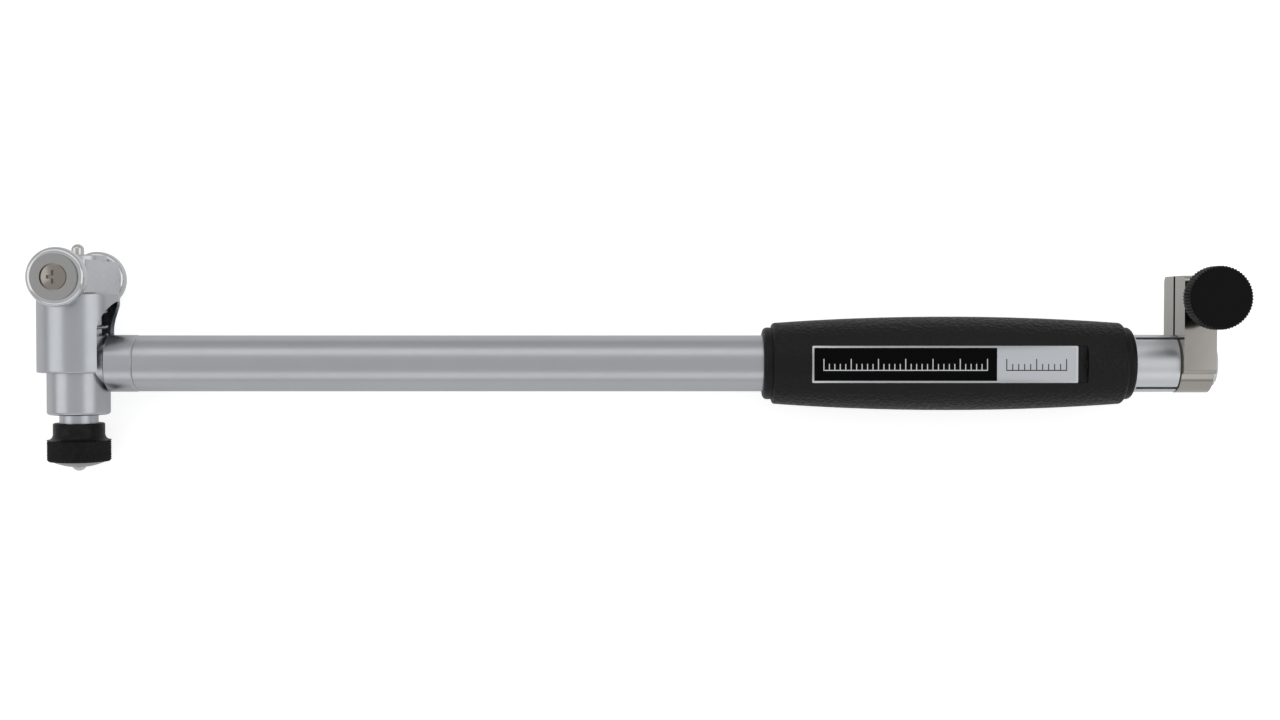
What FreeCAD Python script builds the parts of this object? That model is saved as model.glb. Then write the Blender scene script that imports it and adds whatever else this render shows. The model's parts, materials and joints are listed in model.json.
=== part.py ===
import FreeCAD, Part
import math
import os
import Sketcher

# Dial bore gauge without its dial indicator: a two-point measuring head with a
# spring-loaded centring guide, a stem tube with a hand grip, and the split collet
# and clamp that hold an 8 mm indicator stem.
#
# Gauge frame, millimetres: x runs along the stem from the measuring axis to the
# indicator, y runs along the measuring axis towards the movable contact, z points
# out of the face that carries the label. The finished gauge lies on its far side,
# rolled about the stem until the guide hub and the anvil nut both touch the surface.
# The row frame has its origin at the mouth of the collet, on the stem axis.

Vector = FreeCAD.Vector
Rotation = FreeCAD.Rotation

SIZES = {
    # clearances
    "running_gap": 0.03,
    "seat_gap": 0.05,
    "side_gap": 0.2,
    "slot_gap": 0.27,
    # attitude at rest
    "rest_roll": 16.1,
    # head body
    "barrel_radius": 6.85,
    "barrel_below": 11.4,
    "barrel_above": 6.0,
    "barrel_edge": 0.7,
    "neck_radius": 4.2,
    "neck_length": 8.6,
    "post_radius": 5.05,
    "post_height": 12.4,
    "post_cap": 3.3,
    "anvil_bore_depth": 15.0,
    "side_neck_radius": 5.0,
    "socket_start": 7.0,
    "socket_radius": 6.33,
    "socket_length": 6.4,
    "socket_edge": 0.25,
    "spigot_length": 8.0,
    # measuring mechanism
    "stroke": 1.5,
    "crank_arm": 3.4,
    "crank_tip_radius": 0.8,
    "crank_hub_radius": 1.3,
    "crank_web": 1.1,
    "crank_thickness": 2.2,
    "pin_radius": 0.75,
    "pin_length": 11.4,
    "plunger_radius": 2.0,
    "plunger_nose_radius": 1.1,
    "plunger_stem_radius": 1.3,
    "plunger_stem_length": 5.4,
    "contact_radius": 1.38,
    "contact_length": 6.1,
    "contact_crown": 0.95,
    "contact_shank_radius": 0.7,
    "contact_shank_length": 2.4,
    "rod_radius": 1.5,
    "rod_nose_radius": 0.9,
    "rod_length": 216.0,
    "rod_button_radius": 2.4,
    "rod_button_length": 2.0,
    "rod_collar_radius": 2.7,
    "rod_collar_width": 1.5,
    "rod_collar_place": 173.0,
    "rod_bush_place": 196.0,
    "rod_bush_length": 8.0,
    "rod_spring_radius": 2.6,
    "rod_spring_wire": 0.3,
    "rod_spring_turns": 6.0,
    # guide
    "guide_travel": 5.5,
    "sleeve_radius": 8.95,
    "sleeve_wall": 0.55,
    "sleeve_top_wall": 1.2,
    "sleeve_bottom": 2.0,
    "sleeve_height": 17.65,
    "sleeve_edge": 0.4,
    "arch_top": 13.8,
    "bar_half_width": 5.8,
    "bar_half_length": 13.0,
    "bar_height": 7.15,
    "bar_corner": 1.4,
    "boss_radius": 6.2,
    "boss_height": 1.2,
    "roller_axis": 18.9,
    "roller_radius": 6.46,
    "roller_width": 3.4,
    "roller_edge": 1.15,
    "hub_radius": 3.2,
    "hub_flange_radius": 5.05,
    "hub_flange": 0.65,
    "hub_recess_radius": 2.95,
    "hub_recess_depth": 1.3,
    "screw_radius": 1.3,
    "screw_length": 7.0,
    "screw_head_radius": 2.68,
    "screw_head_height": 1.35,
    "screw_head_crown": 0.35,
    "recess_long": 2.9,
    "recess_width": 0.75,
    "recess_depth": 0.8,
    "stop_place": 2.0,
    "stop_shank_radius": 0.8,
    "stop_head_radius": 1.05,
    "stop_head_length": 1.9,
    "guide_spring_radius": 6.1,
    "guide_spring_wire": 0.3,
    "guide_spring_turns": 3.25,
    # anvil
    "nut_top": 13.3,
    "nut_collar_radius": 5.6,
    "nut_collar_length": 2.4,
    "nut_cove": 1.35,
    "nut_radius": 6.95,
    "nut_knurl_length": 4.75,
    "nut_edge": 0.4,
    "cap_radius": 6.0,
    "cap_rim": 1.0,
    "cap_dome": 14.0,
    "anvil_shank_radius": 3.0,
    "anvil_shank_length": 11.5,
    "ball_radius": 1.75,
    "ball_sink": 0.95,
    # stem and grip
    "tube_radius": 6.25,
    "tube_wall": 1.0,
    "tube_length": 214.6,
    "grip_start": 152.3,
    "grip_length": 81.8,
    "grip_nose_radius": 8.0,
    "grip_nose_length": 2.0,
    "grip_nose_edge": 1.0,
    "grip_shoulder_radius": 9.05,
    "grip_shoulder_edge": 0.8,
    "grip_crown": 1.37,
    "label_place": 10.3,
    "label_pocket_length": 60.2,
    "label_length": 58.0,
    "label_width": 8.1,
    "label_thickness": 0.3,
    "label_seat": 8.45,
    # indicator collet and clamp
    "collet_radius": 6.35,
    "collet_body": 16.0,
    "collet_neck_radius": 5.2,
    "collet_neck_length": 8.4,
    "collet_tail": 10.0,
    "collet_bore_radius": 4.02,
    "collet_bore_depth": 20.0,
    "collet_inner_radius": 3.0,
    "collet_edge": 0.3,
    "slit_width": 1.0,
    "slit_count": 3,
    "slit_turn": 28.0,
    "slit_length": 17.7,
    "clamp_width": 7.1,
    "clamp_ring_radius": 6.5,
    "ear_half_depth": 7.85,
    "ear_top": 19.4,
    "ear_below": 2.2,
    "ear_corner": 1.4,
    "ear_foot": 0.9,
    "clamp_slit": 1.2,
    "clamp_screw_place": 14.4,
    "clamp_screw_radius": 1.95,
    "clamp_screw_length": 20.0,
    "clamp_hole_gap": 0.2,
    "knob_radius": 6.78,
    "knob_thickness": 5.6,
    "knob_edge": 0.5,
    "knob_collar_radius": 3.4,
    "knob_collar_length": 8.6,
    "knob_bore_depth": 11.0,
    "knob_teeth": 60,
    "knob_tooth_depth": 0.32,
}

doc = FreeCAD.newDocument("dial_bore_gauge")
sheet = doc.addObject("Spreadsheet::Sheet", "sizes")
for row, (alias, value) in enumerate(SIZES.items(), start=1):
    sheet.set("A%d" % row, alias)
    sheet.set("B%d" % row, str(value))
    sheet.setAlias("B%d" % row, alias)
doc.recompute()


class Length:
    """A length that knows its value and the sheet expression that yields it."""

    def __init__(self, text, value):
        self.text = text
        self.value = value

    def __add__(self, other):
        other = as_length(other)
        return Length("(%s + %s)" % (self.text, other.text), self.value + other.value)

    def __sub__(self, other):
        other = as_length(other)
        return Length("(%s - %s)" % (self.text, other.text), self.value - other.value)

    def __mul__(self, other):
        other = as_length(other)
        return Length("(%s * %s)" % (self.text, other.text), self.value * other.value)

    def __truediv__(self, other):
        other = as_length(other)
        return Length("(%s / %s)" % (self.text, other.text), self.value / other.value)

    def __neg__(self):
        return Length("(-1 * %s)" % self.text, -self.value)


def root(length):
    """The square root of a Length."""
    return Length("sqrt(%s)" % length.text, math.sqrt(length.value))


def as_length(number):
    """A plain number as a Length, and a Length as it is."""
    if isinstance(number, Length):
        return number
    return Length(repr(float(number)), float(number))


def size(alias):
    """The Length that one cell of the sheet holds."""
    return Length("sizes." + alias, float(sheet.get(alias)))


# Placements -----------------------------------------------------------------

STEM = Rotation(Vector(0, 1, 0), 90)
HEAD_AXIS = Rotation(Vector(1, 0, 0), -90)
DEPTH = Rotation()
DEPTH_AWAY = Rotation(Vector(0, 1, 0), 180)

tube_start = size("socket_start") + size("socket_length")
tube_end = tube_start + size("tube_length")
neck_start = tube_end + size("collet_body")
mouth = neck_start + size("collet_neck_length")
lie = FreeCAD.Placement(
    Vector(-mouth.value, 0, 0),
    Rotation(Vector(1, 0, 0), size("rest_roll").value),
)


def place(piece, x=0, y=0, z=0, turn=DEPTH):
    """Set a piece at a point of the gauge frame, then lie the gauge down."""
    point = Vector(as_length(x).value, as_length(y).value, as_length(z).value)
    piece.Placement = lie.multiply(FreeCAD.Placement(point, turn))
    return piece


# Sketches and features --------------------------------------------------------


def new_body(name):
    body = doc.addObject("PartDesign::Body", name)
    body.Label = name
    return body


def new_sketch(body, name, role, offset=None):
    """A sketch on one of the body's own origin planes, moved along its normal."""
    sketch = body.newObject("Sketcher::SketchObject", name)
    plane = [item for item in body.Origin.OriginFeatures if item.Role == role][0]
    sketch.AttachmentSupport = [(plane, "")]
    sketch.MapMode = "FlatFace"
    if offset is not None:
        sketch.AttachmentOffset = FreeCAD.Placement(Vector(0, 0, offset.value), Rotation())
        sketch.setExpression("AttachmentOffset.Base.z", offset.text)
    return sketch


def arc_between(start, end, radius, side):
    """An arc from start to end; side is +1 when it bulges to the right of the way."""
    chord = end - start
    half = chord.Length / 2
    across = Vector(chord.y, -chord.x, 0)
    across.normalize()
    rise = radius - math.sqrt(max(radius * radius - half * half, 0))
    middle = (start + end) * 0.5 + across * (rise * side)
    return Part.Arc(start, middle, end)


def outline(sketch, corners):
    """A closed outline. A corner is (x, y), or (x, y, radius, side) where an arc
    of that radius leads on to the next corner. A radius of None is a half circle
    on a level chord."""
    corners = [[as_length(corner[0]), as_length(corner[1])] + list(corner[2:]) for corner in corners]
    count = len(corners)
    points = [Vector(corner[0].value, corner[1].value, 0) for corner in corners]
    for index, corner in enumerate(corners):
        start = points[index]
        end = points[(index + 1) % count]
        if len(corner) > 2:
            half_chord = (end - start).Length / 2
            radius = half_chord if corner[2] is None else corner[2].value
            sketch.addGeometry(arc_between(start, end, radius, corner[3]), False)
        else:
            sketch.addGeometry(Part.LineSegment(start, end), False)
    ends = [end_positions(sketch, index, points[index]) for index in range(count)]
    for index in range(count):
        follower = (index + 1) % count
        sketch.addConstraint(
            Sketcher.Constraint("Coincident", index, ends[index][1], follower, ends[follower][0])
        )
    for index, corner in enumerate(corners):
        hold_corner(sketch, index, ends[index][0], corner)
        if len(corner) == 2:
            continue
        if corner[2] is None:
            constraint = Sketcher.Constraint("DistanceY", -1, 1, index, 3, corner[1].value)
            bound = corner[1]
        else:
            constraint = Sketcher.Constraint("Radius", index, corner[2].value)
            bound = corner[2]
        number = sketch.addConstraint(constraint)
        sketch.setExpression("Constraints[%d]" % number, bound.text)


def end_positions(sketch, index, start):
    """Which of an edge's two ends is its start in the outline: (start, end)."""
    if sketch.getPoint(index, 1).distanceToPoint(start) < 1e-6:
        return (1, 2)
    return (2, 1)


def hold_corner(sketch, geometry, position, corner):
    for kind, length in (("DistanceX", corner[0]), ("DistanceY", corner[1])):
        constraint = Sketcher.Constraint(kind, -1, 1, geometry, position, length.value)
        index = sketch.addConstraint(constraint)
        sketch.setExpression("Constraints[%d]" % index, length.text)


def box_outline(sketch, low_x, high_x, low_y, high_y):
    outline(sketch, [(low_x, low_y), (high_x, low_y), (high_x, high_y), (low_x, high_y)])


def circle(sketch, x, y, radius):
    x = as_length(x)
    y = as_length(y)
    index = sketch.addGeometry(
        Part.Circle(Vector(x.value, y.value, 0), Vector(0, 0, 1), radius.value), False
    )
    number = sketch.addConstraint(Sketcher.Constraint("Radius", index, radius.value))
    sketch.setExpression("Constraints[%d]" % number, radius.text)
    for kind, length in (("DistanceX", x), ("DistanceY", y)):
        number = sketch.addConstraint(Sketcher.Constraint(kind, -1, 1, index, 3, length.value))
        sketch.setExpression("Constraints[%d]" % number, length.text)


def revolve(body, name, corners, axis="V_Axis", role="XZ_Plane", kind="Revolution"):
    """Turn an outline of (radius, height) corners about the sketch's own axis."""
    sketch = new_sketch(body, name + "_outline", role)
    outline(sketch, corners)
    feature = body.newObject("PartDesign::" + kind, name)
    feature.Profile = sketch
    feature.ReferenceAxis = (sketch, [axis])
    feature.Angle = 360
    return feature


def pad(body, name, sketch, length, symmetric=False):
    feature = body.newObject("PartDesign::Pad", name)
    feature.Profile = sketch
    feature.SideType = "Symmetric" if symmetric else "One side"
    feature.Length = length.value
    feature.setExpression("Length", length.text)
    return feature


def pocket(body, name, sketch, length=None, side="symmetric"):
    """Cut a sketch through the body: both ways, or only along or against its normal."""
    doc.recompute()
    before = body.Shape.Volume
    feature = body.newObject("PartDesign::Pocket", name)
    feature.Profile = sketch
    if side == "symmetric":
        feature.SideType = "Symmetric"
    feature.Reversed = side == "along"
    if length is None:
        feature.Type = "ThroughAll"
    else:
        feature.Length = length.value
        feature.setExpression("Length", length.text)
    doc.recompute()
    if feature.Shape.isNull() or feature.Shape.Volume >= before:
        raise RuntimeError(name + " cuts nothing")
    return feature


def turned(name, corners):
    body = new_body(name)
    revolve(body, name + "_turning", corners)
    return body


def spring(name, coil_radius, wire_radius, length, turns):
    """An open coil spring that stands on its own XY plane."""
    body = new_body(name)
    sketch = new_sketch(body, name + "_wire", "XZ_Plane")
    circle(sketch, coil_radius, wire_radius, wire_radius)
    coil = body.newObject("PartDesign::AdditiveHelix", name + "_coil")
    coil.Profile = sketch
    coil.ReferenceAxis = (sketch, ["V_Axis"])
    coil.Mode = "height-turns-angle"
    coil.Angle = 0
    height = length - wire_radius * 2
    coil.Height = height.value
    coil.setExpression("Height", height.text)
    coil.Turns = turns.value
    coil.setExpression("Turns", turns.text)
    return body


# Lengths along the measuring axis and in the head ------------------------------

barrel_bottom = -size("barrel_below")
barrel_top = size("barrel_above")
neck_end = barrel_bottom - size("neck_length")
post_top = barrel_top + size("post_height")
post_shoulder = post_top - size("post_cap")
plunger_bore = size("plunger_radius") + size("running_gap")
plunger_stem_bore = size("plunger_stem_radius") + size("running_gap")
anvil_bore = size("anvil_shank_radius") + size("running_gap")
anvil_bore_top = neck_end + size("anvil_bore_depth")
tube_bore = size("tube_radius") - size("tube_wall")
rod_bore = size("rod_radius") + size("running_gap")
half_stroke = size("stroke") / 2
crank_reach = size("crank_arm") + half_stroke + size("crank_tip_radius") + size("side_gap")
crank_start = math.asin(half_stroke.value / size("crank_arm").value)
plunger_bottom = (
    size("crank_arm") + half_stroke + size("crank_tip_radius") + size("seat_gap")
)
rod_start = size("crank_arm") - half_stroke + size("crank_tip_radius") + size("seat_gap")


def head_body():
    """Barrel, guide post, threaded neck and stem socket, cast and turned as one."""
    body = new_body("head_body")
    edge = size("barrel_edge")
    barrel = size("barrel_radius")
    revolve(body, "barrel", [
        (anvil_bore, neck_end),
        (size("neck_radius"), neck_end),
        (size("neck_radius"), barrel_bottom),
        (barrel - edge, barrel_bottom, edge, 1),
        (barrel, barrel_bottom + edge),
        (barrel, barrel_top),
        (size("post_radius"), barrel_top),
        (size("post_radius"), post_top),
        (plunger_stem_bore, post_top),
        (plunger_stem_bore, post_shoulder),
        (plunger_bore, post_shoulder),
        (plunger_bore, anvil_bore_top),
        (anvil_bore, anvil_bore_top),
    ])
    doc.recompute()
    neck = size("side_neck_radius")
    inside = anvil_bore + size("running_gap") * 10
    spigot_end = tube_start + size("spigot_length")
    socket = size("socket_radius")
    lip = size("socket_edge")
    revolve(body, "socket", [
        (inside, rod_bore),
        (spigot_end, rod_bore),
        (spigot_end, tube_bore),
        (tube_start, tube_bore),
        (tube_start, socket - lip),
        (tube_start - lip, socket),
        (size("socket_start") + lip, socket),
        (size("socket_start"), socket - lip),
        (size("socket_start"), neck),
        (inside, neck),
    ], axis="H_Axis")
    doc.recompute()
    revolve(body, "rod_bore", [
        (0, 0),
        (spigot_end + lip, 0),
        (spigot_end + lip, rod_bore),
        (0, rod_bore),
    ], axis="H_Axis", kind="Groove")
    cavity_low = -(size("crank_tip_radius") + size("side_gap"))
    cavity_top = size("crank_arm") + size("crank_hub_radius") + size("side_gap")
    cavity_back = -(barrel + size("side_gap"))
    cavity = new_sketch(body, "crank_cavity", "XZ_Plane")
    box_outline(cavity, cavity_back, crank_reach, cavity_low, cavity_top)
    pocket(body, "crank_pocket", cavity, size("crank_thickness") + size("side_gap") * 2)
    pin = new_sketch(body, "pin_seat", "XZ_Plane")
    circle(pin, size("crank_arm"), size("crank_arm"), size("pin_radius"))
    pocket(body, "pin_hole", pin)
    stop = new_sketch(body, "stop_seat", "XZ_Plane")
    circle(stop, 0, size("stop_place"), size("stop_shank_radius"))
    pocket(body, "stop_hole", stop, side="against")
    return place(body, turn=HEAD_AXIS)


def bell_crank():
    """Right-angled lever: one arm under the plunger, the other against the rod."""
    thick = size("crank_thickness")
    web = size("crank_web")
    arm = size("crank_arm")
    discs = []
    for part_name, x, y, radius in (
        ("crank_hub", 0, 0, size("crank_hub_radius")),
        ("plunger_tip", -arm, 0, size("crank_tip_radius")),
        ("rod_tip", 0, -arm, size("crank_tip_radius")),
    ):
        discs.append(primitive_disc(part_name, x, y, radius, thick))
    plunger_arm = primitive_box("plunger_arm", arm, web, thick, -arm, -web / 2)
    rod_arm = primitive_box("rod_arm", web, arm, thick, -web / 2, -arm)
    lever = doc.addObject("Part::MultiFuse", "crank_lever")
    lever.Shapes = discs + [plunger_arm, rod_arm]
    lever.Refine = True
    bore = primitive_disc("crank_bore", 0, 0, size("pin_radius") + size("running_gap"), thick)
    crank = doc.addObject("Part::Cut", "bell_crank")
    crank.Base = lever
    crank.Tool = bore
    crank.Label = "bell_crank"
    turn = Rotation(Vector(0, 0, 1), -math.degrees(crank_start))
    return place(crank, arm, arm, 0, turn)


def primitive_disc(name, x, y, radius, height):
    disc = doc.addObject("Part::Cylinder", name)
    disc.Radius = radius.value
    disc.setExpression("Radius", radius.text)
    disc.Height = height.value
    disc.setExpression("Height", height.text)
    bind_place(disc, x, y, -height / 2)
    return disc


def primitive_box(name, length, width, height, x, y):
    box = doc.addObject("Part::Box", name)
    for side, value in (("Length", length), ("Width", width), ("Height", height)):
        setattr(box, side, value.value)
        box.setExpression(side, value.text)
    bind_place(box, x, y, -height / 2)
    return box


def bind_place(piece, x, y, z):
    for axis, value in (("x", as_length(x)), ("y", as_length(y)), ("z", as_length(z))):
        piece.setExpression("Placement.Base." + axis, value.text)


def crank_pin():
    half = size("pin_length") / 2
    radius = size("pin_radius")
    body = turned("crank_pin", [(0, -half), (radius, -half), (radius, half), (0, half)])
    return place(body, size("crank_arm"), size("crank_arm"), 0, DEPTH)


def contact_plunger():
    """Stepped spindle; its shoulder stops it under the cap of the guide post."""
    shoulder = post_shoulder - size("seat_gap")
    stem_top = shoulder + size("plunger_stem_length")
    shank_end = stem_top - size("contact_shank_length")
    nose = size("plunger_nose_radius")
    body = turned("contact_plunger", [
        (0, plunger_bottom),
        (nose, plunger_bottom),
        (size("plunger_radius"), plunger_bottom + size("plunger_radius") - nose),
        (size("plunger_radius"), shoulder),
        (size("plunger_stem_radius"), shoulder),
        (size("plunger_stem_radius"), stem_top),
        (size("contact_shank_radius"), stem_top),
        (size("contact_shank_radius"), shank_end),
        (0, shank_end),
    ])
    return place(body, turn=HEAD_AXIS)


def contact_point():
    """Hard-metal contact, domed at the top, screwed into the plunger."""
    bottom = post_shoulder - size("seat_gap") + size("plunger_stem_length")
    top = bottom + size("contact_length")
    radius = size("contact_radius")
    crown = size("contact_crown")
    dome = (radius * radius + crown * crown) / (crown * 2)
    body = turned("contact_point", [
        (0, bottom - size("contact_shank_length")),
        (size("contact_shank_radius"), bottom - size("contact_shank_length")),
        (size("contact_shank_radius"), bottom),
        (radius, bottom),
        (radius, top - crown, dome, 1),
        (0, top),
    ])
    return place(body, turn=HEAD_AXIS)


def push_rod():
    """Rod from the crank to the indicator, with a spring collar and an end button."""
    end = rod_start + size("rod_length")
    collar = size("rod_collar_place")
    rod = size("rod_radius")
    nose = size("rod_nose_radius")
    body = turned("push_rod", [
        (0, rod_start),
        (nose, rod_start),
        (rod, rod_start + rod - nose),
        (rod, collar),
        (size("rod_collar_radius"), collar),
        (size("rod_collar_radius"), collar + size("rod_collar_width")),
        (rod, collar + size("rod_collar_width")),
        (rod, end - size("rod_button_length")),
        (size("rod_button_radius"), end - size("rod_button_length")),
        (size("rod_button_radius"), end),
        (0, end),
    ])
    return place(body, turn=STEM)


def rod_bush():
    """Bush fixed in the tube; it guides the rod and backs its spring."""
    start = size("rod_bush_place")
    end = start + size("rod_bush_length")
    body = turned("rod_bush", [
        (rod_bore, start), (tube_bore, start), (tube_bore, end), (rod_bore, end),
    ])
    return place(body, turn=STEM)


def rod_spring():
    start = size("rod_collar_place") + size("rod_collar_width") + size("seat_gap")
    length = size("rod_bush_place") - size("seat_gap") - start
    body = spring(
        "rod_spring", size("rod_spring_radius"), size("rod_spring_wire"), length,
        size("rod_spring_turns"),
    )
    return place(body, x=start, turn=STEM)


# Guide -------------------------------------------------------------------------

sleeve_bottom = -size("sleeve_bottom")
sleeve_top = sleeve_bottom + size("sleeve_height")
sleeve_bore = size("sleeve_radius") - size("sleeve_wall")
guide_bore = size("post_radius") + size("running_gap")
slot_half = size("socket_radius") + size("slot_gap")


def guide_sleeve():
    """Thin cup over the barrel; its arch straddles the stem socket."""
    body = new_body("guide_sleeve")
    outer = size("sleeve_radius")
    edge = size("sleeve_edge")
    shelf = sleeve_top - size("sleeve_top_wall")
    revolve(body, "cup", [
        (sleeve_bore, sleeve_bottom),
        (outer - edge, sleeve_bottom, edge, 1),
        (outer, sleeve_bottom + edge),
        (outer, sleeve_top - edge, edge, 1),
        (outer - edge, sleeve_top),
        (guide_bore, sleeve_top),
        (guide_bore, shelf),
        (sleeve_bore, shelf),
    ])
    arch = new_sketch(body, "arch", "YZ_Plane")
    spring_line = size("arch_top") - slot_half
    below = sleeve_bottom - size("sleeve_edge")
    outline(arch, [
        (-slot_half, below),
        (slot_half, below),
        (slot_half, spring_line, None, 1),
        (-slot_half, spring_line),
    ])
    pocket(body, "arch_slot", arch, side="along")
    stop_half = size("stop_head_radius") + size("running_gap")
    low = size("stop_place")
    high = low + size("guide_travel")
    track = new_sketch(body, "stop_track", "XZ_Plane")
    outline(track, [
        (stop_half, low),
        (stop_half, high, None, 1),
        (-stop_half, high),
        (-stop_half, low, None, 1),
    ])
    pocket(body, "stop_slot", track, side="against")
    return place(body, turn=HEAD_AXIS)


def guide_bar():
    """Cross bar that carries a roller at each end and slides on the post."""
    body = new_body("guide_bar")
    across = size("bar_half_width")
    along = size("bar_half_length")
    corner = size("bar_corner")
    plan = new_sketch(body, "bar_plan", "XY_Plane")
    outline(plan, [
        (across - corner, -along, corner, 1),
        (across, -along + corner),
        (across, along - corner, corner, 1),
        (across - corner, along),
        (-across + corner, along, corner, 1),
        (-across, along - corner),
        (-across, -along + corner, corner, 1),
        (-across + corner, -along),
    ])
    pad(body, "bar", plan, size("bar_height"))
    doc.recompute()
    boss_top = size("bar_height") + size("boss_height")
    inside = size("bar_height") - size("boss_height")
    revolve(body, "boss", [
        (0, inside),
        (size("boss_radius"), inside + size("boss_height")),
        (size("boss_radius"), boss_top - size("seat_gap") * 4),
        (size("boss_radius") - size("seat_gap") * 4, boss_top),
        (0, boss_top),
    ])
    bore = new_sketch(body, "bar_bore", "XY_Plane")
    circle(bore, 0, 0, guide_bore)
    pocket(body, "post_bore", bore)
    seat = new_sketch(body, "screw_seat", "XZ_Plane")
    circle(seat, 0, size("roller_axis") - sleeve_top, size("screw_radius"))
    pocket(body, "screw_holes", seat)
    return place(body, y=sleeve_top, turn=HEAD_AXIS)


def roller(name, turn, depth):
    """Polished roller with crowned shoulders."""
    bore = size("hub_radius") + size("running_gap")
    outer = size("roller_radius")
    edge = size("roller_edge")
    width = size("roller_width")
    body = turned(name, [
        (bore, 0),
        (outer - edge, 0, edge, 1),
        (outer, edge),
        (outer, width - edge, edge, 1),
        (outer - edge, width),
        (bore, width),
    ])
    return place(body, 0, size("roller_axis"), depth, turn)


def roller_hub(name, turn, depth):
    """Flanged bush that keeps the roller on the bar; its recess takes the screw."""
    face = size("roller_width") + size("side_gap")
    top = face + size("hub_flange")
    body = turned(name, [
        (size("screw_radius"), 0),
        (size("hub_radius"), 0),
        (size("hub_radius"), face),
        (size("hub_flange_radius"), face),
        (size("hub_flange_radius"), top),
        (size("hub_recess_radius"), top),
        (size("hub_recess_radius"), top - size("hub_recess_depth")),
        (size("screw_radius"), top - size("hub_recess_depth")),
    ])
    return place(body, 0, size("roller_axis"), depth, turn)


def roller_screw(name, turn, depth):
    """Cross-recessed screw through the hub into the end of the bar."""
    seat = (
        size("roller_width") + size("side_gap") + size("hub_flange") - size("hub_recess_depth")
    )
    top = seat + size("screw_head_height")
    head = size("screw_head_radius")
    crown = size("screw_head_crown")
    crown_radius = (head * head + crown * crown) / (crown * 2)
    body = turned(name, [
        (0, seat - size("screw_length")),
        (size("screw_radius"), seat - size("screw_length")),
        (size("screw_radius"), seat),
        (head, seat),
        (head, top - crown, crown_radius, 1),
        (0, top),
    ])
    doc.recompute()
    half_long = size("recess_long") / 2
    half_wide = size("recess_width") / 2
    cross = new_sketch(body, name + "_cross", "XY_Plane", top - size("recess_depth"))
    outline(cross, [
        (half_long, -half_wide),
        (half_long, half_wide),
        (half_wide, half_wide),
        (half_wide, half_long),
        (-half_wide, half_long),
        (-half_wide, half_wide),
        (-half_long, half_wide),
        (-half_long, -half_wide),
        (-half_wide, -half_wide),
        (-half_wide, -half_long),
        (half_wide, -half_long),
        (half_wide, -half_wide),
    ])
    pocket(body, name + "_recess", cross, side="along")
    return place(body, 0, size("roller_axis"), depth, turn)


def guide_stop_screw():
    """Screw in the barrel whose head runs in the sleeve's slot and ends its travel."""
    barrel = size("barrel_radius")
    root = plunger_bore + size("side_gap") * 5
    body = turned("guide_stop_screw", [
        (0, root),
        (size("stop_shank_radius"), root),
        (size("stop_shank_radius"), barrel + size("seat_gap")),
        (size("stop_head_radius"), barrel + size("seat_gap")),
        (size("stop_head_radius"), barrel + size("seat_gap") + size("stop_head_length")),
        (0, barrel + size("seat_gap") + size("stop_head_length")),
    ])
    return place(body, 0, size("stop_place"), 0, DEPTH_AWAY)


def guide_spring():
    """Spring round the post between the barrel and the top wall of the sleeve."""
    gap = size("seat_gap")
    start = barrel_top + gap
    length = sleeve_top - size("sleeve_top_wall") - gap - start
    body = spring(
        "guide_spring", size("guide_spring_radius"), size("guide_spring_wire"), length,
        size("guide_spring_turns"),
    )
    return place(body, y=start, turn=HEAD_AXIS)


# Anvil --------------------------------------------------------------------------

nut_top = -size("nut_top")
knurl_top = nut_top - size("nut_collar_length") - size("nut_cove")
nut_bottom = knurl_top - size("nut_knurl_length")
cap_top = nut_bottom + size("cap_rim")


def anvil_nut():
    """Knurled ring nut with a plain collar and a cove between the two."""
    edge = size("nut_edge")
    outer = size("nut_radius")
    cove = outer - size("nut_collar_radius")
    body = turned("anvil_nut", [
        (size("neck_radius") + size("running_gap"), nut_top),
        (size("nut_collar_radius") - edge / 2, nut_top),
        (size("nut_collar_radius"), nut_top - edge / 2),
        (size("nut_collar_radius"), knurl_top + cove, cove, 1),
        (outer, knurl_top),
        (outer, nut_bottom + edge),
        (outer - edge, nut_bottom),
        (size("cap_radius"), nut_bottom),
        (size("cap_radius"), cap_top),
        (size("neck_radius") + size("running_gap"), cap_top),
    ])
    return place(body, turn=HEAD_AXIS)


def anvil_cap():
    """Domed end with a shank that centres in the neck; it seats the anvil ball."""
    rim = size("cap_radius")
    dome = size("cap_dome")
    ball = size("ball_radius")
    tip = nut_bottom - dome + root(dome * dome - rim * rim)
    lip = tip + dome - root(dome * dome - ball * ball)
    centre = tip + size("ball_sink")
    body = turned("anvil_cap", [
        (0, centre + ball, ball, -1),
        (ball, centre),
        (ball, lip, dome, 1),
        (rim, nut_bottom),
        (rim, cap_top),
        (size("anvil_shank_radius"), cap_top),
        (size("anvil_shank_radius"), cap_top + size("anvil_shank_length")),
        (0, cap_top + size("anvil_shank_length")),
    ])
    return place(body, turn=HEAD_AXIS), centre


def anvil_ball(centre):
    ball = doc.addObject("Part::Sphere", "anvil_ball")
    ball.Label = "anvil_ball"
    ball.Radius = size("ball_radius").value
    ball.setExpression("Radius", size("ball_radius").text)
    return place(ball, y=centre, turn=HEAD_AXIS)


# Stem, grip and label -------------------------------------------------------------


def stem_tube():
    outer = size("tube_radius")
    edge = size("seat_gap") * 3
    body = turned("stem_tube", [
        (tube_bore, tube_start),
        (outer - edge, tube_start),
        (outer, tube_start + edge),
        (outer, tube_end),
        (tube_bore, tube_end),
    ])
    return place(body, turn=STEM)


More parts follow.
